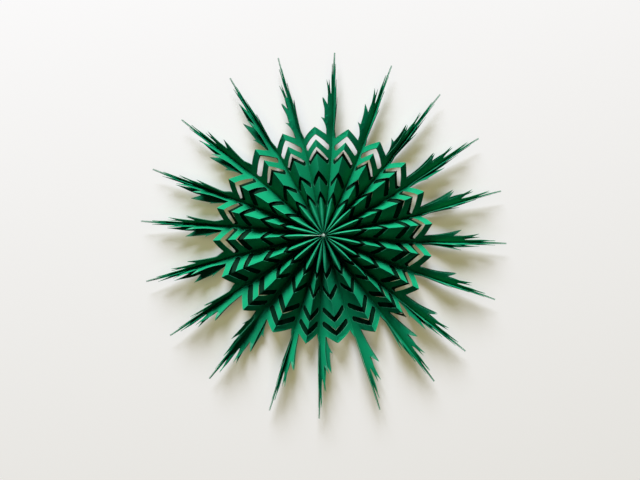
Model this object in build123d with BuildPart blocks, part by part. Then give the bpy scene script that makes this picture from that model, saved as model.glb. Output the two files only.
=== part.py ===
import os
from math import cos, radians, sin, sqrt, tan

from build123d import *

os.makedirs("parts", exist_ok=True)

# Paper snowflake: doubled paper, pleated, cut through all its pleats and opened into a disc of twenty rays.
# The disc lies on its back with the front ridges up. Lengths in mm, angles in degrees.
# Two sheets make the front ply. The ply behind is pressed into them as far as its ring, where it parts from them.

# The sheets
PLEAT = 20.0
REACH = 148.5
PAPER = 0.2
RAYS = 20
SHEET_RIDGES = RAYS // 2

# Stations from the hub outward, and how far the back folds rise above the table there
HUB = 2.0
SOLID = 30.0
RING = 88.0
RING_MARGIN = 1.0
FLARE = 108.0
RING_RISE = 2.5
FLARE_RISE = 4.5
TIP_RISE = 9.0
RAY_LEAN = 15.0
RAY_HALF_ANGLE = 30.0
BACK_HALF_ANGLE = 38.0

# Cuts in each pleat: chevron slots as inner and outer radius on the ridge
SLOTS = ((31.0, 35.0), (47.5, 51.5), (65.5, 70.0), (77.0, 81.8))
SLANT = 25.0
SLOT_DEPTH = 0.72
SLOT_END = 0.8
NOTCH_DEPTH = 0.64
FOLD_FLAT = 0.05

# Free edge of a ray from the ring notch to its tip: radius, then share of the pleat from the ridge
ROOT_BARB = ((96.0, 0.34), (94.5, 0.47))
BARBS = ((110.5, 0.37), (104.6, 0.62), (125.0, 0.51), (113.6, 0.79), (138.8, 0.79), (127.4, 0.90))
TIP_SHARE = 0.97

# Glued laps run from this radius outward on the under sheet, and the plies stand this far apart
LAP_START = 37.0
PLY_GAP = 0.4

# Dried glue in the pinched hub
GLUE_CLEARANCE = 0.05
GLUE_DROP = 1.0
GLUE_DOME = 0.8

# Azimuths of the front ridges and of the rays between them, as opened by hand
RIDGE_AZ = (6.1, 23.4, 41.4, 58.8, 76.7, 94.6, 111.8, 128.4, 149.3, 165.5)
RIDGE_AZ += (182.6, 202.2, 222.7, 242.2, 260.6, 277.4, 298.1, 315.4, 330.6, 349.0)
RAY_AZ = (13.1, 31.3, 49.5, 67.2, 85.6, 103.5, 120.1, 140.2, 158.3, 174.9)
RAY_AZ += (193.8, 212.7, 231.4, 252.9, 268.2, 287.7, 307.0, 320.4, 338.8, 356.9)

UP = Vector(0, 0, 1)
FAR = 2 * REACH
SLOT_SLANT = PLEAT * tan(radians(SLANT))


def opening(radius):
    """Plan width of one pleat, half of an even pitch of the rays."""
    return 2 * radius * sin(radians(90 / RAYS))


def height(radius):
    """Height from back fold to front ridge that the pleat width leaves at this opening."""
    return sqrt(max(PLEAT**2 - opening(radius) ** 2, (0.2 * PLEAT) ** 2))


def lap(radius):
    """Upright side of the paper at a fold, for an even thickness across the pleat."""
    return PAPER * PLEAT / (opening(radius) + PAPER)


def polar(radius, azimuth, z):
    return Vector(radius * cos(radians(azimuth)), radius * sin(radians(azimuth)), z)


def stations(ridge_az, ray_az, half_angle):
    """Radius, ridge point, back fold point and fold lap of a pleat at each station."""
    side = 1 if (ridge_az - ray_az) > 0 else -1
    rows = []
    for radius, rise in ((HUB, 0.0), (SOLID, 0.0), (RING + RING_MARGIN, RING_RISE)):
        top = polar(radius, ridge_az, rise + height(radius))
        rows.append((radius, top, polar(radius, ray_az, rise), lap(radius)))
    tilt = half_angle + side * RAY_LEAN
    across = polar(1, ray_az + side * 90, 0)
    for radius, rise in ((FLARE, FLARE_RISE), (REACH, TIP_RISE)):
        fold = polar(radius, ray_az, rise)
        top = fold + across * (PLEAT * sin(radians(tilt))) + UP * (PLEAT * cos(radians(tilt)))
        rows.append((radius, top, fold, PAPER / sin(radians(half_angle))))
    return rows


def lowered(rows):
    """Stations of the ply behind, clear of both layers of a front lap and of its own."""
    drops = [UP * (2 * rise + PLY_GAP) for _, _, _, rise in rows]
    return [(row[0], row[1] - drop, row[2] - drop, row[3]) for row, drop in zip(rows, drops)]


def section_at(rows, radius):
    """Ridge point, back fold point and fold lap at any radius."""
    k = 0
    while k < len(rows) - 2 and radius > rows[k + 1][0]:
        k += 1
    r0, top0, low0, lap0 = rows[k]
    r1, top1, low1, lap1 = rows[k + 1]
    part_way = (radius - r0) / (r1 - r0)
    return top0 + (top1 - top0) * part_way, low0 + (low1 - low0) * part_way, lap0 + (lap1 - lap0) * part_way


def on_pleat(rows, radius, share):
    """Point on the middle of the paper, share 0 at the ridge and 1 at the back fold."""
    top, low, rise = section_at(rows, radius)
    top = top - UP * rise / 2
    low = low + UP * rise / 2
    return top + (low - top) * share


def pleat_sections(rows, layer):
    """Stations of a pleat, with one more where a glued lap begins. An under layer starts only there."""
    if layer == 0:
        return rows
    inner = [row for row in rows if row[0] < LAP_START]
    outer = [row for row in rows if row[0] > LAP_START]
    begin = [(LAP_START, *section_at(rows, LAP_START))]
    return (inner if layer > 0 else []) + begin + outer


def back_sections(rows):
    """Stations of the ply behind, from the slanted inner edge of its ring outward."""
    inner_edge = SLOTS[-1][1]
    top, _, rise = section_at(rows, inner_edge)
    low = section_at(rows, inner_edge - SLOT_SLANT)[1]
    return [(inner_edge, top, low, rise)] + [row for row in rows if row[0] > RING]


def pleat(ridge_az, ray_az, layer=0, behind=False):
    """One pleat with its cuts. Layer 1 lies over a glued lap, layer -1 under it, 0 is single paper."""
    rows = stations(ridge_az, ray_az, BACK_HALF_ANGLE if behind else RAY_HALF_ANGLE)
    if behind:
        rows = lowered(rows)
    sections = back_sections(rows) if behind else pleat_sections(rows, layer)
    middle = (ridge_az + ray_az) / 2
    outward = polar(1, middle, 0)
    side_view = Plane(origin=(0, 0, 0), x_dir=outward, z_dir=outward.cross(UP))

    def drawn(radius, share):
        point = on_pleat(rows, radius, share)
        return (point.dot(outward), point.Z)

    notch = (RING - SLOT_SLANT * NOTCH_DEPTH, NOTCH_DEPTH)
    with BuildPart() as body:
        for radius, top, low, rise in sections:
            start = Vector(top.X, top.Y, 0)
            along = Vector(low.X, low.Y, 0) - start
            ridge_z = top.Z - (rise if layer < 0 else 0)
            fold_z = low.Z + (rise if layer > 0 and radius >= LAP_START else 0)
            with BuildSketch(Plane(origin=start, x_dir=along, z_dir=along.cross(UP))):
                with BuildLine():
                    Polyline(
                        (0, ridge_z - rise),
                        (0, ridge_z),
                        (along.length, fold_z + rise),
                        (along.length, fold_z),
                        close=True,
                    )
                make_face()
        loft(ruled=True)
        with BuildSketch(side_view):
            for inner, outer in () if behind else SLOTS:
                middle_end = (inner + outer) / 2 - SLOT_SLANT * SLOT_DEPTH
                half_end = (outer - inner) / 2 * SLOT_END
                with BuildLine():
                    Polyline(
                        drawn(inner, -FOLD_FLAT),
                        drawn(outer, -FOLD_FLAT),
                        drawn(outer, FOLD_FLAT),
                        drawn(middle_end + half_end, SLOT_DEPTH),
                        drawn(middle_end - half_end, SLOT_DEPTH),
                        drawn(inner, FOLD_FLAT),
                        close=True,
                    )
                make_face()
            barbs = ROOT_BARB + BARBS if behind else BARBS
            edge = [drawn(RING, FOLD_FLAT), drawn(*notch)]
            edge += [drawn(*point) for point in barbs]
            edge += [drawn(REACH, TIP_SHARE)]
            with BuildLine():
                Polyline(*edge, (FAR, edge[-1][1]), (FAR, FAR), (edge[0][0], FAR), close=True)
            make_face()
        extrude(amount=FAR, both=True, mode=Mode.SUBTRACT)
    return body.part


def half_disc(first, behind=False):
    """Pleats of one sheet from its glued-under end at ridge `first` to its end laid over the next sheet."""
    pleats = []
    for k in range(first, first + SHEET_RIDGES):
        ridge = RIDGE_AZ[k % RAYS]
        ray = RAY_AZ[k % RAYS]
        following = RIDGE_AZ[(k + 1) % RAYS]
        if following < ray:
            following += 360
        pleats.append(pleat(ridge, ray, -1 if k == first else 0, behind))
        pleats.append(pleat(following, ray, 0, behind))
    last = (first + SHEET_RIDGES) % RAYS
    pleats.append(pleat(RIDGE_AZ[last], RAY_AZ[last], 1, behind))
    return pleats


with BuildPart() as upper_sheet:
    add(half_disc(0))
upper_sheet.part.label = "upper_sheet"
export_step(upper_sheet.part, "parts/upper_sheet.step")

with BuildPart() as lower_sheet:
    add(half_disc(SHEET_RIDGES))
lower_sheet.part.label = "lower_sheet"
export_step(lower_sheet.part, "parts/lower_sheet.step")

with BuildPart() as left_backing:
    add(half_disc(SHEET_RIDGES // 2, behind=True))
left_backing.part.label = "left_backing"
export_step(left_backing.part, "parts/left_backing.step")

with BuildPart() as right_backing:
    add(half_disc(SHEET_RIDGES + SHEET_RIDGES // 2, behind=True))
right_backing.part.label = "right_backing"
export_step(right_backing.part, "parts/right_backing.step")

with BuildPart() as centre_glue:
    Cylinder(HUB - GLUE_CLEARANCE, PLEAT - GLUE_DROP, align=(Align.CENTER, Align.CENTER, Align.MIN))
    chamfer(centre_glue.edges().sort_by(Axis.Z)[-1], length=GLUE_DOME)
centre_glue.part.label = "centre_glue"
export_step(centre_glue.part, "parts/centre_glue.step")
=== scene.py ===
"""Paper snowflake of two plies of pleated green paper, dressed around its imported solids.

Lengths are in millimetres until a mesh is written, and in metres for shaders and lamps.
Angles are in degrees.
"""
from collections import namedtuple
from functools import cache
from math import radians, tan

import bpy
import numpy as np
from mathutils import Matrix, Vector
from mathutils.geometry import delaunay_2d_cdt


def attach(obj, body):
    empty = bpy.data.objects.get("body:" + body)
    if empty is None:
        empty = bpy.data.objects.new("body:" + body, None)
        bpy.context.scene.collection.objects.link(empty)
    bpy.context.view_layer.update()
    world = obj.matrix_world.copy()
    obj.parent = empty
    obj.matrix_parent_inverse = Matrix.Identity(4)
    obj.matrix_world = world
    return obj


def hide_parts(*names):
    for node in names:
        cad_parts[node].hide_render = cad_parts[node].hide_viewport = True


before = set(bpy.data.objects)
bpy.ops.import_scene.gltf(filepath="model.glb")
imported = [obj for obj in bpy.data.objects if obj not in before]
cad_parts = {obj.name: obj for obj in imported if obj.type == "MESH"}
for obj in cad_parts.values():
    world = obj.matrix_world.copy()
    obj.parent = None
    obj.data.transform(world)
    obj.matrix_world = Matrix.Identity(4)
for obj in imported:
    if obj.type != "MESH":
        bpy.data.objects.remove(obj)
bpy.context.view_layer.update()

MM = 0.001
TINY = 1e-9
UP = np.array((0.0, 0.0, 1.0))
RNG = np.random.default_rng(20)

# The sheets, as in the part, and how far a glued lap lifts the pleat over it
PLEAT = 20.0
REACH = 148.5
PAPER = 0.2
RAYS = 20
SHEET_RIDGES = RAYS // 2
HUB = 2.0
RING = 88.0
LEAST_HEIGHT = 0.2 * PLEAT
LAP_LIFT = 1.5 * PAPER

# Chevron slots, a little wider than the part's: inner and outer radius on the ridge, slant over a whole
# pleat, depth as a share of the pleat, how wide and round their blunt end is, and how far their two edges
# bow
SLOTS = ((30.5, 35.4), (47.0, 52.0), (65.1, 70.5), (76.6, 82.2))
SLANT = PLEAT * tan(radians(25.0))
SLOT_DEPTH = 0.72
SLOT_END = 0.92
SLOT_END_POINTS = 6
INNER_BOW = 0.15
OUTER_BOW = 0.4

# Depth of the ring's notches. Clockwise flaps have folded back as far as a deeper one, but for these wide
# rays
NOTCH_DEPTH = 0.64
FOLDED_NOTCH = 0.84
WIDE_CW = (7, 8, 9, 10, 11, 12)

# Free edge of a ray past the ring notch: radius, share of the pleat from the ridge
ROOT_BARB = ((96.0, 0.32), (94.8, 0.45))
BARBS = ((111.0, 0.35), (104.6, 0.63), (125.5, 0.50), (113.6, 0.80))
BARBS += ((138.8, 0.76), (127.4, 0.915))
TIP_SHARE = 0.985
RING_BOW = -0.2
BARB_HOLLOW = 0.13

# Rays that keep the root barb, by ply (0 in front) and side (1 counterclockwise)
ROOTED = {
    (0, -1): (),
    (0, 1): (3, 4, 5),
    (1, -1): (1, 12, 17),
    (1, 1): (2, 6, 7, 8, 9, 10, 12, 14),
}

# Mesh spacing on the flat pattern: along cuts and folds and over the area, with its jitter, the rim of
# points inside the cuts, how near to the outline a rim or area point may lie, and when two points are one
CUT_STEP = 1.3
FOLD_STEP = 2.0
GRID_STEP = 1.8
GRID_JITTER = 0.35
GRID_CLEAR = 0.75
CUT_RIM = 0.42
RIM_CLEAR = 0.8 * CUT_RIM
SAME_POINT = 1e-5
WELD_DIGITS = 4

# Radius and height of the back folds above the table
RISE_AT = (0.0, 30.0, 60.0, 89.0, 108.0, 128.0, REACH)
RISE_TO = (0.15, 0.15, 1.0, 2.5, 4.4, 6.7, 9.2)

# Azimuths: front ridges at the ring and near the hub, back folds at mid length and at the tip
RIDGE_AZ = (6.1, 23.4, 41.4, 58.8, 76.7, 94.6, 111.8, 128.4, 149.3, 165.5)
RIDGE_AZ += (182.6, 202.2, 222.7, 242.2, 260.6, 277.4, 298.1, 315.4, 330.6, 349.0)
HUB_RIDGE_AZ = (8.4, 24.4, 44.2, 55.6, 77.7, 94.0, 112.0, 129.4, 152.0, 166.8)
HUB_RIDGE_AZ += (181.2, 203.2, 219.8, 243.4, 260.2, 272.4, 295.0, 317.0, 329.2, 347.7)
FOLD_AZ = (11.3, 29.9, 47.7, 65.4, 83.9, 101.8, 118.9, 139.0, 157.3, 173.7)
FOLD_AZ += (192.4, 211.9, 231.4, 253.0, 267.3, 287.2, 306.7, 319.7, 337.5, 355.7)
TIP_AZ = (14.0, 32.0, 50.4, 68.1, 86.5, 104.3, 120.7, 140.8, 158.8, 175.5)
TIP_AZ += (194.5, 213.1, 231.4, 252.8, 268.6, 287.9, 307.2, 320.8, 339.5, 357.5)

# Radii between which ridges and back folds turn from the one azimuth to the other
RIDGE_TURN = (22, 62)
FOLD_TURN = (40, REACH)

# Ridges are rounded near the hub, out to these radii: width of the rounding on the paper and where it
# runs out, how far it pushes the pleats out per radius, and how far it lifts them
ROUND_TO = (15, 35)
CREST = 1.2
CREST_RUNOUT = 8
CREST_SPREAD = 0.055
CREST_LIFT = 0.35

# Ridges near the hub carry a painted highlight, out to these radii and this far from the fold
HUB_HIGHLIGHT_TO = (24, 62)
HUB_HIGHLIGHT_WIDTH = 0.7

# Between these radii cut edges and folds lose their paler colour, and the ply behind loses the extra
# painted shade it has inside the ring
PLAIN_TIP = (105, 122)
INNER_TO = (RING - 2, RING + 6)

# Angle from upright of the two flaps of each ray, clockwise one first: front ply and back ply
FRONT_TILT = ((8, 60), (4, 48), (5, 30), (9, 50), (7, 41))
FRONT_TILT += ((12, 35), (9, 30), (38, 36), (19, 30), (30, 24))
FRONT_TILT += ((28, 25), (22, 54), (14, 72), (4, 42), (2, 34))
FRONT_TILT += ((3, 65), (12, 61), (6, 45), (6, 49), (10, 53))
BACK_TILT = ((15, 74), (21, 52), (15, 36), (9, 54), (8, 45))
BACK_TILT += ((12, 39), (10, 56), (36, 54), (18, 64), (26, 58))
BACK_TILT += ((24, 70), (18, 58), (26, 78), (8, 46), (4, 50))
BACK_TILT += ((2, 68), (24, 65), (25, 49), (10, 53), (25, 57))

# Flaps are hollow across: this share of their tilt is missing at the fold and made up at this width, but
# no edge turns further than almost flat
FLAP_CUP = 0.5
FLAP_WIDTH = 13.0
ALMOST_FLAT = 88.0

# Tips close towards upright: by this share of the tilt, between these radii, front ply and back ply
CLOSING = (0.5, 0.5)
CLOSING_SPAN = ((126, 142), (106, 126))

# Flaps part from the slope of the ring: clockwise ones between these radii, counterclockwise ones over a
# length that begins inside the ring for the paper near the fold
CW_PARTING = (RING - 1, RING + 7)
CCW_LENGTH = 22.0
CCW_EARLY = 13.0
CCW_EARLY_SHARE = (0.25, 0.6)

# Bands between the slots spring apart: spread outward and upward, radii where it begins, how it eases off
# away from the ridge, and how softly one band follows on another
BAND_SPREAD = (0.45, 0.4)
SPRING_FROM = (15, 40)
SPRING_EASE = 1.3
BAND_BLEND = 2.0

# Pleats bow between their folds, fully past these radii. Free barbs curl past this share of the flap's
# width
BOW_SPREAD = 0.35
BOW_FROM = (10, 60)
CURL_RANGE = (-0.4, 1.0)
CURL_DEPTH = 1.4
CURL_FROM = 0.35

# The ply behind: how far its slots have crept outward at the top, at the sides and at the bottom,
# azimuths of top and bottom, least width of its ring, how low its bands hang, and the ridge where its
# ring shows
TOP_CREEP = (6.2, 6.2, 3.4, 0.0)
SIDE_CREEP = (6.4, 6.6, 6.25, 3.0)
LOW_CREEP = (6.4, 6.6, 5.95, 7.4)
TOP_AZ = (50, 140)
LOW_AZ = (195, 325)
BACK_RING = 2.4
BACK_SAG = 5.0
PEEKING_RIDGE = 17
PEEK = 6.0

# It lies this far behind the front ply at the hub, and by so much more past these radii. Each pleat is
# set back square to its own face, so the pleats behind do not quite meet at their folds
HUB_GAP = 0.05
MORE_GAP = 0.35
GAP_FROM = (HUB, 45)

# What chance does to each ply: bands of each ridge, then bow and curl of each ray's two flaps. The ply
# behind bows with the front one and away from it
BAND_SHIFT = RNG.normal(0, 1, (2, RAYS, len(SLOTS) + 1, 2)) * BAND_SPREAD
BAND_SHIFT[1, :, :, 1] -= BACK_SAG
BAND_SHIFT[1, PEEKING_RIDGE, -1, 0] += PEEK
BOW = RNG.normal(0, BOW_SPREAD, (2, RAYS, 2))
BOW[1] = BOW[0] + np.abs(BOW[1])
CURL = RNG.uniform(*CURL_RANGE, (2, RAYS, 2))

# A flat pleat cut to shape: points as radius and distance from the ridge, triangles, values that its
# colour follows, and the radii where its bands start
Pattern = namedtuple("Pattern", "points tris tints band_starts")


def smooth(low, high, value):
    """Soft step from 0 at low to 1 at high."""
    t = np.clip((value - low) / (high - low), 0, 1)
    return t * t * (3 - 2 * t)


def line(start, end, step, bow=0.0):
    """Points from start up to, not including, end; bow pushes the middle to the left of the way."""
    start = np.array(start, float)
    way = np.array(end, float) - start
    length = np.hypot(*way)
    t = np.linspace(0, 1, max(2, int(np.ceil(length / step)) + 1))[:-1, None]
    left = np.array((-way[1], way[0])) / length
    return start + way * t + left * (4 * bow * t * (1 - t))


def slot_edge(inner, outer):
    """Cut edge of one slot, from the ridge round its blunt end and back."""
    depth = SLOT_DEPTH * PLEAT
    middle = (inner + outer) / 2 - SLANT * SLOT_DEPTH
    half = (outer - inner) / 2 * SLOT_END
    turn = np.radians(np.linspace(180, 0, SLOT_END_POINTS))
    cap = np.stack((middle + half * np.cos(turn), depth + half * np.sin(turn)), 1)
    out = line((inner, 0), cap[0], CUT_STEP, bow=INNER_BOW)
    back = line(cap[-1], (outer, 0), CUT_STEP, bow=OUTER_BOW)
    return np.vstack((out, cap[:-1], back))


def free_edge(barbs, notch):
    """Corners of the cut from the ridge at the ring, through the notch and the barbs, to the tip."""
    corners = [(RING, 0), (RING - SLANT * notch, notch * PLEAT)]
    corners += [(radius, share * PLEAT) for radius, share in barbs]
    return corners + [(REACH, TIP_SHARE * PLEAT)]


def outline(barbs, slots, notch):
    """Points round a flat pleat, and which of them are on a cut."""
    runs = []
    at = HUB
    for inner, outer in slots:
        runs.append((line((at, 0), (inner, 0), FOLD_STEP), False))
        runs.append((slot_edge(inner, outer), True))
        at = outer
    runs.append((line((at, 0), (RING, 0), FOLD_STEP), False))
    corners = free_edge(barbs, notch)
    runs.append((line(corners[0], corners[1], CUT_STEP, bow=RING_BOW), True))
    for start, end in zip(corners[1:], corners[2:]):
        hollow = BARB_HOLLOW * max(start[1] - end[1], 0)
        runs.append((line(start, end, CUT_STEP, bow=hollow), True))
    runs.append((line(corners[-1], (REACH, PLEAT), CUT_STEP), True))
    runs.append((line((REACH, PLEAT), (HUB, PLEAT), FOLD_STEP), False))
    runs.append((line((HUB, PLEAT), (HUB, 0), CUT_STEP), True))
    loop = np.vstack([points for points, _ in runs])
    on_cut = np.concatenate([np.full(len(points), is_cut) for points, is_cut in runs])
    return loop, on_cut


def edge_distance(points, starts, ends):
    """Distance from each point to the nearest of some edges."""
    way = ends - starts
    offset = points[:, None] - starts
    t = np.clip((offset * way).sum(-1) / (way * way).sum(-1), 0, 1)
    return np.hypot(*np.moveaxis(offset - way * t[..., None], -1, 0)).min(1)


def inside(points, starts, ends):
    """Whether each point lies within a closed outline, by counting the edges on one side of it."""
    level = points[:, None, 1]
    crosses = (starts[:, 1] > level) != (ends[:, 1] > level)
    climb = np.where(ends[:, 1] == starts[:, 1], TINY, ends[:, 1] - starts[:, 1])
    cross_at = starts[:, 0] + (level - starts[:, 1]) * (ends[:, 0] - starts[:, 0]) / climb
    return ((points[:, None, 0] < cross_at) & crosses).sum(1) % 2 == 1


def rim_points(loop, on_cut):
    """Points a little inside the cuts, for the paler edge to fade over."""
    way = np.roll(loop, -1, 0) - np.roll(loop, 1, 0)
    inward = np.stack((way[:, 1], -way[:, 0]), 1) / np.hypot(*way.T)[:, None]
    return (loop + inward * CUT_RIM)[on_cut]


def crest_points():
    """Two rows of points beside the ridge, for its rounding near the hub."""
    radii = np.arange(HUB + 1, ROUND_TO[1], FOLD_STEP)
    rows = [np.stack((radii, np.full_like(radii, gap)), 1) for gap in (CREST / 2, CREST)]
    return np.vstack(rows)


def grid_points():
    """Loosely spread points over the whole pleat."""
    radii = np.arange(HUB + GRID_STEP / 2, REACH, GRID_STEP)
    from_ridge = np.arange(GRID_STEP / 2, PLEAT, GRID_STEP)
    grid = np.stack(np.meshgrid(radii, from_ridge), -1).reshape(-1, 2)
    return grid + RNG.uniform(-GRID_JITTER, GRID_JITTER, grid.shape) * GRID_STEP


def triangles(points, loop_count):
    """Points and evenly turned triangles within the outline that the first points make."""
    edges = [(k, (k + 1) % loop_count) for k in range(loop_count)]
    outer = [list(range(loop_count))]
    made = delaunay_2d_cdt([Vector(point) for point in points], edges, outer, 1, SAME_POINT)
    points = np.array([tuple(point) for point in made[0]])
    tris = np.array(made[2])
    a, b, c = points[tris[:, 0]], points[tris[:, 1]], points[tris[:, 2]]
    turn = (b - a)[:, 0] * (c - a)[:, 1] - (b - a)[:, 1] * (c - a)[:, 0]
    tris[turn < 0] = tris[turn < 0][:, ::-1]
    return points, tris


def colour_values(points, cut_gap):
    """Distances to cut and fold, painted highlight on the ridge near the hub, and reach past the ring,
    where the inner painted shade of the ply behind ends; all for the paper's colour.
    """
    radius = points[:, 0]
    from_ridge = points[:, 1]
    plain = smooth(*PLAIN_TIP, radius)
    return {
        "cut_gap": cut_gap + plain,
        "fold_gap": np.minimum(from_ridge, PLEAT - from_ridge) + plain,
        "hub_highlight": (1 - smooth(*HUB_HIGHLIGHT_TO, radius)) * (1 - smooth(0, HUB_HIGHLIGHT_WIDTH, from_ridge)),
        "past_ring": smooth(*INNER_TO, radius + SLANT * from_ridge / PLEAT),
    }


def pleat_pattern(barbs, slots, notch):
    """Flat pleat with its cuts, as a Pattern."""
    loop, on_cut = outline(barbs, slots, notch)
    ahead = np.roll(loop, -1, 0)
    rim = rim_points(loop, on_cut)
    rim = rim[inside(rim, loop, ahead) & (edge_distance(rim, loop, ahead) > RIM_CLEAR)]
    crest = crest_points()
    crest_gap = edge_distance(crest, loop[on_cut], ahead[on_cut])
    crest = crest[inside(crest, loop, ahead) & (crest_gap > CUT_RIM)]
    grid = grid_points()
    clear = GRID_CLEAR + CREST * (grid[:, 0] < ROUND_TO[1])
    grid = grid[inside(grid, loop, ahead) & (edge_distance(grid, loop, ahead) > clear)]
    points, tris = triangles(np.vstack((loop, rim, crest, grid)), len(loop))

    cut_edges = on_cut & np.roll(on_cut, -1)
    cut_gap = edge_distance(points, loop[cut_edges], ahead[cut_edges])
    band_starts = [0.0] + [(inner + outer) / 2 for inner, outer in slots]
    return Pattern(points, tris, colour_values(points, cut_gap), band_starts)


def crept(creep):
    """Slots moved outward, leaving the ring of the ply behind its least width."""
    moved = [(inner + by, outer + by) for (inner, outer), by in zip(SLOTS, creep)]
    return [(inner, min(outer, RING - BACK_RING)) for inner, outer in moved]


CUT_SLOTS = {"front": SLOTS, "top": crept(TOP_CREEP), "side": crept(SIDE_CREEP), "low": crept(LOW_CREEP)}


@cache
def cut_pleat(place, rooted, notch):
    """Pattern of a pleat for a place on the disc, made once for all alike."""
    return pleat_pattern(ROOT_BARB + BARBS if rooted else BARBS, CUT_SLOTS[place], notch)


def place_of(ridge, ply):
    """Where on the disc a ridge is, for the creep of the ply behind."""
    if ply == 0:
        return "front"
    azimuth = RIDGE_AZ[ridge]
    if TOP_AZ[0] < azimuth < TOP_AZ[1]:
        return "top"
    return "low" if LOW_AZ[0] < azimuth < LOW_AZ[1] else "side"


def polar(radius, azimuth):
    """Points on the table at these radii and azimuths."""
    angle = np.radians(azimuth)
    return np.stack((radius * np.cos(angle), radius * np.sin(angle), np.zeros_like(radius)), -1)


def opening(radius):
    """Plan width of one pleat, half of an even pitch of the rays."""
    return 2 * radius * np.sin(radians(90 / RAYS))


def height(radius):
    """Height from back fold to front ridge that the pleat width leaves at this opening."""
    return np.sqrt(np.maximum(PLEAT**2 - opening(radius) ** 2, LEAST_HEIGHT**2))


def turned(start, end, share):
    """Azimuth between two, by the short way round."""
    return start + ((end - start + 180) % 360 - 180) * share


def parted(radius, share, side):
    """How far the paper has left the slope of the ring for that of its flap, from 0 to 1."""
    if side < 0:
        return smooth(*CW_PARTING, radius + SLANT * share)
    begin = RING - CCW_EARLY * smooth(*CCW_EARLY_SHARE, share)
    return smooth(0, 1, (radius - begin) / CCW_LENGTH)


def flap_slope(radius, share, across, most_tilt, ply):
    """Direction from the back fold up a free flap."""
    cup = min(FLAP_CUP, ALMOST_FLAT / most_tilt - 1)
    tilt = radians(most_tilt) * (1 - CLOSING[ply] * smooth(*CLOSING_SPAN[ply], radius))
    tilt = (tilt * (1 - cup * (1 - (1 - share) * PLEAT / FLAP_WIDTH)))[:, None]
    return across * np.sin(tilt) + UP * np.cos(tilt)


def band_spring(pattern, share, free, shifts):
    """How far the bands between the slots have sprung outward and upward, most at their ridge."""
    radius = pattern.points[:, 0]
    straight = radius + SLANT * share
    spring = np.zeros((len(radius), 2))
    before = np.zeros(2)
    for start, shift in zip(pattern.band_starts, shifts):
        begun = smooth(start - BAND_BLEND, start + BAND_BLEND, straight)[:, None]
        spring += begun * (shift - before)
        before = shift
    loose = np.clip(1 - share / SLOT_DEPTH, 0, 1) ** SPRING_EASE * (1 - free)
    return spring * (smooth(*SPRING_FROM, radius)[:, None] * loose[:, None])


def crest_rounding(pattern, across):
    """How a front ridge near the hub, round and not sharp, pushes out and lifts its two pleats."""
    radius = pattern.points[:, 0]
    from_ridge = pattern.points[:, 1]
    near = smooth(0, CREST, from_ridge) * (1 - smooth(CREST, CREST_RUNOUT, from_ridge))
    rounding = (near * (1 - smooth(*ROUND_TO, radius)))[:, None]
    return rounding * (UP * CREST_LIFT - across * (CREST_SPREAD * radius)[:, None])


def set_back(radius, share, free, bow, curl, ply):
    """How far the paper lies behind its slope: by its bow, less the curl of its barbs, and by its ply."""
    bowed = bow * np.sin(np.pi * np.clip(share, 0, 1)) * smooth(*BOW_FROM, radius)
    curled = np.clip((1 - share) * PLEAT / FLAP_WIDTH - CURL_FROM, 0, 1) ** 2
    lift = curl * CURL_DEPTH * curled * free
    gap = ply * (HUB_GAP + MORE_GAP * smooth(*GAP_FROM, radius))
    return bowed - lift + gap


def lay_pleat(pattern, ray, side, ply):
    """Points of a flat pleat laid in the disc, on side 1 or -1 of its ray's fold and in ply 0 or 1."""
    radius = pattern.points[:, 0]
    share = pattern.points[:, 1] / PLEAT
    flap = int(side > 0)
    ridge = (ray + flap) % RAYS
    fold_az = turned(FOLD_AZ[ray], TIP_AZ[ray], smooth(*FOLD_TURN, radius))
    ridge_az = turned(HUB_RIDGE_AZ[ridge], RIDGE_AZ[ridge], smooth(*RIDGE_TURN, radius))
    along = polar(np.ones_like(radius), fold_az)
    across = polar(np.ones_like(radius), fold_az + side * 90)
    outward = polar(np.ones_like(radius), ridge_az)

    rise = np.interp(radius, RISE_AT, RISE_TO)
    fold = polar(radius, fold_az) + UP * rise[:, None]
    top = polar(radius, ridge_az) + UP * (rise + height(radius))[:, None]
    most_tilt = (FRONT_TILT, BACK_TILT)[ply][ray][flap]
    free = parted(radius, share, side)
    slope = (top - fold) / PLEAT
    width = np.linalg.norm(slope, axis=1, keepdims=True) * (1 - free[:, None]) + free[:, None]
    slope = slope * (1 - free[:, None])
    slope += flap_slope(radius, share, across, most_tilt, ply) * free[:, None]
    slope *= width / np.linalg.norm(slope, axis=1, keepdims=True)
    face = np.cross(along, slope) * -side
    face /= np.linalg.norm(face, axis=1, keepdims=True)

    laid = fold + slope * (PLEAT * (1 - share))[:, None]
    spring = band_spring(pattern, share, free, BAND_SHIFT[ply, ridge])
    laid += outward * spring[:, :1] + UP * spring[:, 1:]
    if ply == 0:
        laid += crest_rounding(pattern, across)
    behind = set_back(radius, share, free, BOW[ply, ray, flap], CURL[ply, ray, flap], ply)
    return laid + face * behind[:, None]


def half_disc(first, ply):
    """Pleats of one sheet of a ply, with its last pleat laid over the first of the next sheet."""
    last = first + SHEET_RIDGES
    pleats = [(k, side) for k in range(first, last) for side in (-1, 1)]
    panels = []
    for k, side in pleats + [(last, -1)]:
        ray = k % RAYS
        ridge = (ray + int(side > 0)) % RAYS
        notch = NOTCH_DEPTH if side > 0 or ray in WIDE_CW else FOLDED_NOTCH
        pattern = cut_pleat(place_of(ridge, ply), ray in ROOTED[ply, side], notch)
        laid = lay_pleat(pattern, ray, side, ply)
        if k == last:
            laid = laid + UP * (LAP_LIFT * pattern.points[:, 1] / PLEAT)[:, None]
        panels.append((pattern, laid, side))
    return panels


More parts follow.
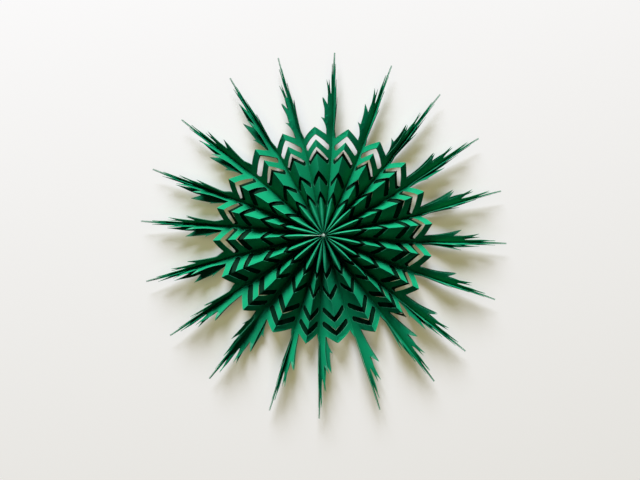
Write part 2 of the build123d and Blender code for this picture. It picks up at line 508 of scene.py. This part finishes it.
def joined(panels):
    """Places, triangles and colour values of a whole sheet, with points that meet made one."""
    tris = []
    count = 0
    for pattern, laid, side in panels:
        order = pattern.tris if side > 0 else pattern.tris[:, ::-1]
        tris.append(order + count)
        count += len(laid)
    places = np.vstack([laid for _, laid, _ in panels])
    rounded = np.round(places, WELD_DIGITS)
    _, keep, weld = np.unique(rounded, axis=0, return_index=True, return_inverse=True)
    tris = weld.ravel()[np.vstack(tris)]
    tris = tris[(tris[:, 0] != tris[:, 1]) & (tris[:, 1] != tris[:, 2]) & (tris[:, 2] != tris[:, 0])]
    tints = {}
    for label in panels[0][0].tints:
        values = np.concatenate([pattern.tints[label] for pattern, _, _ in panels])
        tints[label] = values[keep]
    return places[keep], tris, tints


def point_normals(places, tris):
    """Unit normals of a sheet at its points."""
    a, b, c = places[tris[:, 0]], places[tris[:, 1]], places[tris[:, 2]]
    facing = np.cross(b - a, c - a)
    normals = np.zeros_like(places)
    for k in range(3):
        np.add.at(normals, tris[:, k], facing)
    return normals / np.maximum(np.linalg.norm(normals, axis=1, keepdims=True), TINY)


def edge_walls(tris, count):
    """Quads along the open edges of a sheet, from its front points to its back points, count further on."""
    sides = np.vstack((tris[:, [0, 1]], tris[:, [1, 2]], tris[:, [2, 0]]))
    _, first, uses = np.unique(np.sort(sides, 1), axis=0, return_index=True, return_counts=True)
    rim = sides[first[uses == 1]]
    return np.stack((rim[:, 1], rim[:, 0], rim[:, 0] + count, rim[:, 1] + count), 1)


def placed(name, data):
    """New object in the scene."""
    made = bpy.data.objects.new(name, data)
    bpy.context.scene.collection.objects.link(made)
    return made


def paper_piece(name, panels, paper):
    """One sheet from its laid pleats, with both its faces and its cut edge."""
    places, tris, tints = joined(panels)
    count = len(places)
    half = point_normals(places, tris) * (PAPER / 2)
    points = np.vstack((places + half, places - half)) * MM
    faces = tris.tolist() + (tris[:, ::-1] + count).tolist() + edge_walls(tris, count).tolist()
    mesh = bpy.data.meshes.new(name)
    mesh.from_pydata(points.tolist(), [], faces)
    for label, values in tints.items():
        attribute = mesh.attributes.new(label, "FLOAT", "POINT")
        attribute.data.foreach_set("value", np.tile(values, 2).astype(np.float32))
    mesh.materials.append(paper)
    return placed(name, mesh)


# Paper colours, linear. A ramp is the two values that its tint fades between and its strength at the
# first
PLAIN_PAPER = (0.004, 0.28, 0.13)
CLOUD_DARK = (0.003, 0.26, 0.115)
CLOUD_PALE = (0.005, 0.305, 0.14)
FIBRE = (0.002, 0.215, 0.094)
FIBRE_RAMP = (0.30, 0.52, 0.35)
FOLD_PALE = (0.03, 0.40, 0.23)
FOLD_RAMP = (0.15, 0.9, 0.3)
CUT_PALE = (0.16, 0.46, 0.34)
CUT_RAMP = (0.04, 0.30, 0.3)
# Painted highlight along the ridges near the hub
HUB_HIGHLIGHT = (0.09, 0.62, 0.38)
HUB_HIGHLIGHT_RAMP = (1.0, 0.0, 0.25)
# Ramp of the painted shade inside the ring
INNER_SHADE_RAMP = (0.0, 1.0, 1.0)

# Paper finish: scale and detail of each noise, strength and depth of the grain
CLOUD_NOISE = (60, 3)
FIBRE_NOISE = (2600, 4)
GRAIN_NOISE = (1900, 5)
GRAIN_STRENGTH = 0.18
GRAIN_DEPTH = 0.00012
PAPER_ROUGHNESS = 0.7
PAPER_SPECULAR = 0.06

# The ply behind is the same paper painted darker as shade, by the first share, and by the second again
# inside the ring
BACK_PAINTED_SHADE = 0.62
BACK_INNER_PAINTED_SHADE = 0.14


def material(name, colour, roughness):
    """New material with its node tree and its shader."""
    made = bpy.data.materials.new(name)
    made.use_nodes = True
    shader = made.node_tree.nodes["Principled BSDF"]
    shader.inputs["Base Color"].default_value = (*colour, 1)
    shader.inputs["Roughness"].default_value = roughness
    return made, made.node_tree, shader


def noise(tree, scale, detail):
    """Cloudy value fixed to the object."""
    where = tree.nodes.new("ShaderNodeTexCoord")
    cloud = tree.nodes.new("ShaderNodeTexNoise")
    cloud.inputs["Scale"].default_value = scale
    cloud.inputs["Detail"].default_value = detail
    tree.links.new(where.outputs["Object"], cloud.inputs["Vector"])
    return cloud.outputs["Fac"]


def mesh_value(tree, label):
    """One of the colour values kept on the mesh."""
    node = tree.nodes.new("ShaderNodeAttribute")
    node.attribute_name = label
    return node.outputs["Fac"]


def ramp(tree, value, start, end, strength):
    """Strength where the value is start, fading to nothing at end."""
    node = tree.nodes.new("ShaderNodeMapRange")
    node.inputs["From Min"].default_value = start
    node.inputs["From Max"].default_value = end
    node.inputs["To Min"].default_value = strength
    node.inputs["To Max"].default_value = 0.0
    tree.links.new(value, node.inputs["Value"])
    return node.outputs["Result"]


def tint(tree, factor, under, colour):
    """Colour laid over another, which is a plain colour or the output of an earlier tint."""
    node = tree.nodes.new("ShaderNodeMix")
    node.data_type = "RGBA"
    tree.links.new(factor, node.inputs["Factor"])
    if isinstance(under, tuple):
        node.inputs["A"].default_value = (*under, 1)
    else:
        tree.links.new(under, node.inputs["A"])
    node.inputs["B"].default_value = (*colour, 1)
    return node.outputs["Result"]


def paper_colour(tree, depth, inner_painted_shade):
    """Cloudy dyed colour with fibres, paler folds and cut edges and a painted highlight on the ridges near
    the hub, darkened by depth as painted shade, and darker again inside the ring as more painted shade.
    """

    def with_painted_shade(colour):
        return tuple(depth * channel for channel in colour)

    shade = tint(tree, noise(tree, *CLOUD_NOISE), with_painted_shade(CLOUD_DARK), with_painted_shade(CLOUD_PALE))
    fibre = ramp(tree, noise(tree, *FIBRE_NOISE), *FIBRE_RAMP)
    shade = tint(tree, fibre, shade, with_painted_shade(FIBRE))
    fold = ramp(tree, mesh_value(tree, "fold_gap"), *FOLD_RAMP)
    shade = tint(tree, fold, shade, with_painted_shade(FOLD_PALE))
    cut = ramp(tree, mesh_value(tree, "cut_gap"), *CUT_RAMP)
    shade = tint(tree, cut, shade, with_painted_shade(CUT_PALE))
    # Painted highlight along the ridges near the hub
    highlight = ramp(tree, mesh_value(tree, "hub_highlight"), *HUB_HIGHLIGHT_RAMP)
    shade = tint(tree, highlight, shade, with_painted_shade(HUB_HIGHLIGHT))
    # More painted shade for the ply behind inside the ring
    if inner_painted_shade < 1:
        inner_shade_colour = tuple(inner_painted_shade * channel for channel in CLOUD_DARK)
        inner = ramp(tree, mesh_value(tree, "past_ring"), *INNER_SHADE_RAMP)
        shade = tint(tree, inner, shade, with_painted_shade(inner_shade_colour))
    return shade


def paper_material(name, depth, inner_painted_shade):
    """Dyed paper with a fine grain, darkened by depth as painted shade."""
    plain = (PLAIN_PAPER[0], PLAIN_PAPER[1] * depth, PLAIN_PAPER[2] * depth)
    made, tree, shader = material(name, plain, PAPER_ROUGHNESS)
    shader.inputs["Specular IOR Level"].default_value = PAPER_SPECULAR
    tree.links.new(paper_colour(tree, depth, inner_painted_shade), shader.inputs["Base Color"])
    bump = tree.nodes.new("ShaderNodeBump")
    bump.inputs["Strength"].default_value = GRAIN_STRENGTH
    bump.inputs["Distance"].default_value = GRAIN_DEPTH
    tree.links.new(noise(tree, *GRAIN_NOISE), bump.inputs["Height"])
    tree.links.new(bump.outputs["Normal"], shader.inputs["Normal"])
    return made


PAPERS = (
    paper_material("green_paper", 1.0, 1.0),
    # The ply behind: the same paper darkened as painted shade
    paper_material("green_paper_painted_shade", BACK_PAINTED_SHADE, BACK_INNER_PAINTED_SHADE),
)

# Node, first ray and ply of each sheet
SHEETS = (
    ("upper_sheet", 0, 0),
    ("lower_sheet", SHEET_RIDGES, 0),
    ("left_backing", SHEET_RIDGES // 2, 1),
    ("right_backing", SHEET_RIDGES + SHEET_RIDGES // 2, 1),
)
for node, first, ply in SHEETS:
    piece = paper_piece(f"{node}_paper", half_disc(first, ply), PAPERS[ply])
    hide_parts(node)
    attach(piece, "root")

# The dried glue: a lumpy plug in the hub, drawn from the table up as levels on a scale of its own, which
# its top stretches, and shares of its radius
PLUG_RADIUS = 1.9
PLUG_TOP = 19.6
PLUG_SIDES = 28
PLUG_LUMPS = 0.07
PLUG_PROFILE = ((0.0, 0.9), (0.6, 1.0), (17.6, 1.0), (18.3, 0.94))
PLUG_PROFILE += ((18.8, 0.74), (19.05, 0.42), (19.1, 0.1))

# A smear of it along one ridge: radii, half width and half height, lift above the ridge, where on a half
# wave its taper starts and how much of it follows, how thin it gets by chance, and how far it sways
SMEAR_RIDGE = 10
SMEAR = (1.2, 16.5)
SMEAR_SIDES = 10
SMEAR_RINGS = 26
SMEAR_WIDTH = 0.24
SMEAR_HEIGHT = 0.2
SMEAR_LIFT = 0.4
SMEAR_TAPER = (0.06, 0.9)
SMEAR_THINNEST = 0.6
SMEAR_SWAY = 0.12

# Glue colours: green in cloudy patches, and cloudy white
PLAIN_GLUE = (0.62, 0.68, 0.6)
GLUE_GREEN = (0.08, 0.30, 0.19)
GLUE_WHITE = (0.62, 0.70, 0.64)
GLUE_NOISE = (700, 2)
GLUE_ROUGHNESS = 0.45


def rings_piece(name, rings, made):
    """Closed smooth skin through rings of equally many points."""
    count = len(rings[0])
    faces = []
    for k in range(len(rings) - 1):
        low = k * count
        high = low + count
        for j in range(count):
            ahead = (j + 1) % count
            faces.append((low + j, low + ahead, high + ahead, high + j))
    faces.append(tuple(reversed(range(count))))
    faces.append(tuple(range((len(rings) - 1) * count, len(rings) * count)))
    mesh = bpy.data.meshes.new(name)
    mesh.from_pydata((np.vstack(rings) * MM).tolist(), [], faces)
    mesh.polygons.foreach_set("use_smooth", [True] * len(faces))
    mesh.materials.append(made)
    return placed(name, mesh)


def plug_rings():
    """Rings of the glue plug from the table up."""
    turn = np.linspace(0, 360, PLUG_SIDES, endpoint=False)
    profile_top = PLUG_PROFILE[-1][0]
    rings = []
    for z, share in PLUG_PROFILE:
        lumps = 1 + RNG.uniform(-PLUG_LUMPS, 0.0, PLUG_SIDES)
        rings.append(polar(PLUG_RADIUS * share * lumps, turn) + UP * z * PLUG_TOP / profile_top)
    return rings


def smear_rings():
    """Rings of the glue smear from the hub outward."""
    turn = np.radians(np.linspace(0, 360, SMEAR_SIDES, endpoint=False))
    azimuth = HUB_RIDGE_AZ[SMEAR_RIDGE]
    aside = polar(np.array([1.0]), azimuth + 90)[0]
    rings = []
    for k, radius in enumerate(np.linspace(*SMEAR, SMEAR_RINGS)):
        part_way = SMEAR_TAPER[0] + SMEAR_TAPER[1] * k / (SMEAR_RINGS - 1)
        taper = np.sin(np.pi * np.clip(part_way, 0, 1)) ** 0.5
        taper *= RNG.uniform(SMEAR_THINNEST, 1.0)
        middle = polar(np.array([radius]), azimuth)[0] + UP * (height(radius) + SMEAR_LIFT)
        middle += aside * RNG.uniform(-SMEAR_SWAY, SMEAR_SWAY)
        ring = middle + aside * (SMEAR_WIDTH * taper * np.cos(turn))[:, None]
        rings.append(ring + UP * (SMEAR_HEIGHT * taper * np.sin(turn))[:, None])
    return rings


def glue_material():
    """Dried craft glue."""
    made, tree, shader = material("dried_glue", PLAIN_GLUE, GLUE_ROUGHNESS)
    shade = tint(tree, noise(tree, *GLUE_NOISE), GLUE_GREEN, GLUE_WHITE)
    tree.links.new(shade, shader.inputs["Base Color"])
    return made


GLUE = glue_material()
plug = rings_piece("centre_glue_plug", plug_rings(), GLUE)
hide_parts("centre_glue")
smear = rings_piece("centre_glue_smear", smear_rings(), GLUE)
for piece in (plug, smear):
    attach(piece, "root")

# Floor: its plain colour for light that bounces, and what the camera sees of it. A nook is a shaded place
FLOOR_SIZE = 6
FLOOR_PLAIN = (0.86, 0.86, 0.86)
FLOOR_ROUGHNESS = 0.9
FLOOR_SEEN = (0.59, 0.612, 0.73)
NOOK_GLOW = (0.30, 0.268, 0.135)
NOOK_REACH = 0.011

# Light: one large window beyond the top of the photograph, and a dim room
WINDOW_AT = (-0.6, 3.2, 1.68)
WINDOW_POWER = 285
WINDOW_SIZE = 1.7
ROOM_LIGHT = (1.0, 1.0, 1.0)
ROOM_STRENGTH = 0.04
ROOM_SEEN = (0.91, 0.91, 0.90)

# Camera: its height, the level where one pixel of the photograph covers this width, and where the hub is
# in pixels from the middle of the frame
VIEW_DISTANCE = 620.0
VIEW_PLANE = 9.0
PIXEL = 0.8115
FRAME_WIDTH = 640
HUB_IN_FRAME = (3.5, 4.5)
SENSOR = 36.0


def seen_by_camera(tree, other, seen):
    """Shader that is the second one to the camera and the first one to all other light."""
    choice = tree.nodes.new("ShaderNodeMixShader")
    path = tree.nodes.new("ShaderNodeLightPath")
    tree.links.new(path.outputs["Is Camera Ray"], choice.inputs["Fac"])
    tree.links.new(other, choice.inputs[1])
    tree.links.new(seen, choice.inputs[2])
    return choice.outputs["Shader"]


def floor_material():
    """Plain pale floor. To the camera its shadows are lifted to the warm grey of a lit room."""
    made, tree, shader = material("pale_floor", FLOOR_PLAIN, FLOOR_ROUGHNESS)
    nodes, links = tree.nodes, tree.links
    shade = nodes.new("ShaderNodeBsdfDiffuse")
    shade.inputs["Color"].default_value = (*FLOOR_SEEN, 1)
    nook = nodes.new("ShaderNodeAmbientOcclusion")
    nook.inputs["Color"].default_value = (*NOOK_GLOW, 1)
    nook.inputs["Distance"].default_value = NOOK_REACH
    glow = nodes.new("ShaderNodeEmission")
    links.new(nook.outputs["Color"], glow.inputs["Color"])
    both = nodes.new("ShaderNodeAddShader")
    links.new(shade.outputs["BSDF"], both.inputs[0])
    links.new(glow.outputs["Emission"], both.inputs[1])
    surface = seen_by_camera(tree, shader.outputs["BSDF"], both.outputs["Shader"])
    links.new(surface, nodes["Material Output"].inputs["Surface"])
    return made


def room():
    """Dim even light all round. Only to the camera it is as pale as the floor."""
    world = bpy.data.worlds.new("room")
    world.use_nodes = True
    tree = world.node_tree
    dim = tree.nodes["Background"]
    dim.inputs["Color"].default_value = (*ROOM_LIGHT, 1)
    dim.inputs["Strength"].default_value = ROOM_STRENGTH
    pale = tree.nodes.new("ShaderNodeBackground")
    pale.inputs["Color"].default_value = (*ROOM_SEEN, 1)
    surface = seen_by_camera(tree, dim.outputs["Background"], pale.outputs["Background"])
    tree.links.new(surface, tree.nodes["World Output"].inputs["Surface"])
    return world


bpy.ops.mesh.primitive_plane_add(size=FLOOR_SIZE)
floor = bpy.context.object
floor.name = "floor"
floor.data.materials.append(floor_material())

window = bpy.data.lights.new("window", "AREA")
window.energy = WINDOW_POWER
window.size = WINDOW_SIZE
holder = placed("window", window)
holder.location = WINDOW_AT
holder.rotation_euler = (-Vector(WINDOW_AT)).to_track_quat("-Z", "Y").to_euler()
bpy.context.scene.world = room()

camera = bpy.data.cameras.new("camera")
camera.sensor_width = SENSOR
camera.lens = SENSOR * (VIEW_DISTANCE - VIEW_PLANE) / (FRAME_WIDTH * PIXEL)
view = placed("camera", camera)
view.location = (-HUB_IN_FRAME[0] * PIXEL * MM, -HUB_IN_FRAME[1] * PIXEL * MM, VIEW_DISTANCE * MM)
bpy.context.scene.camera = view
bpy.context.scene.view_settings.view_transform = "Standard"
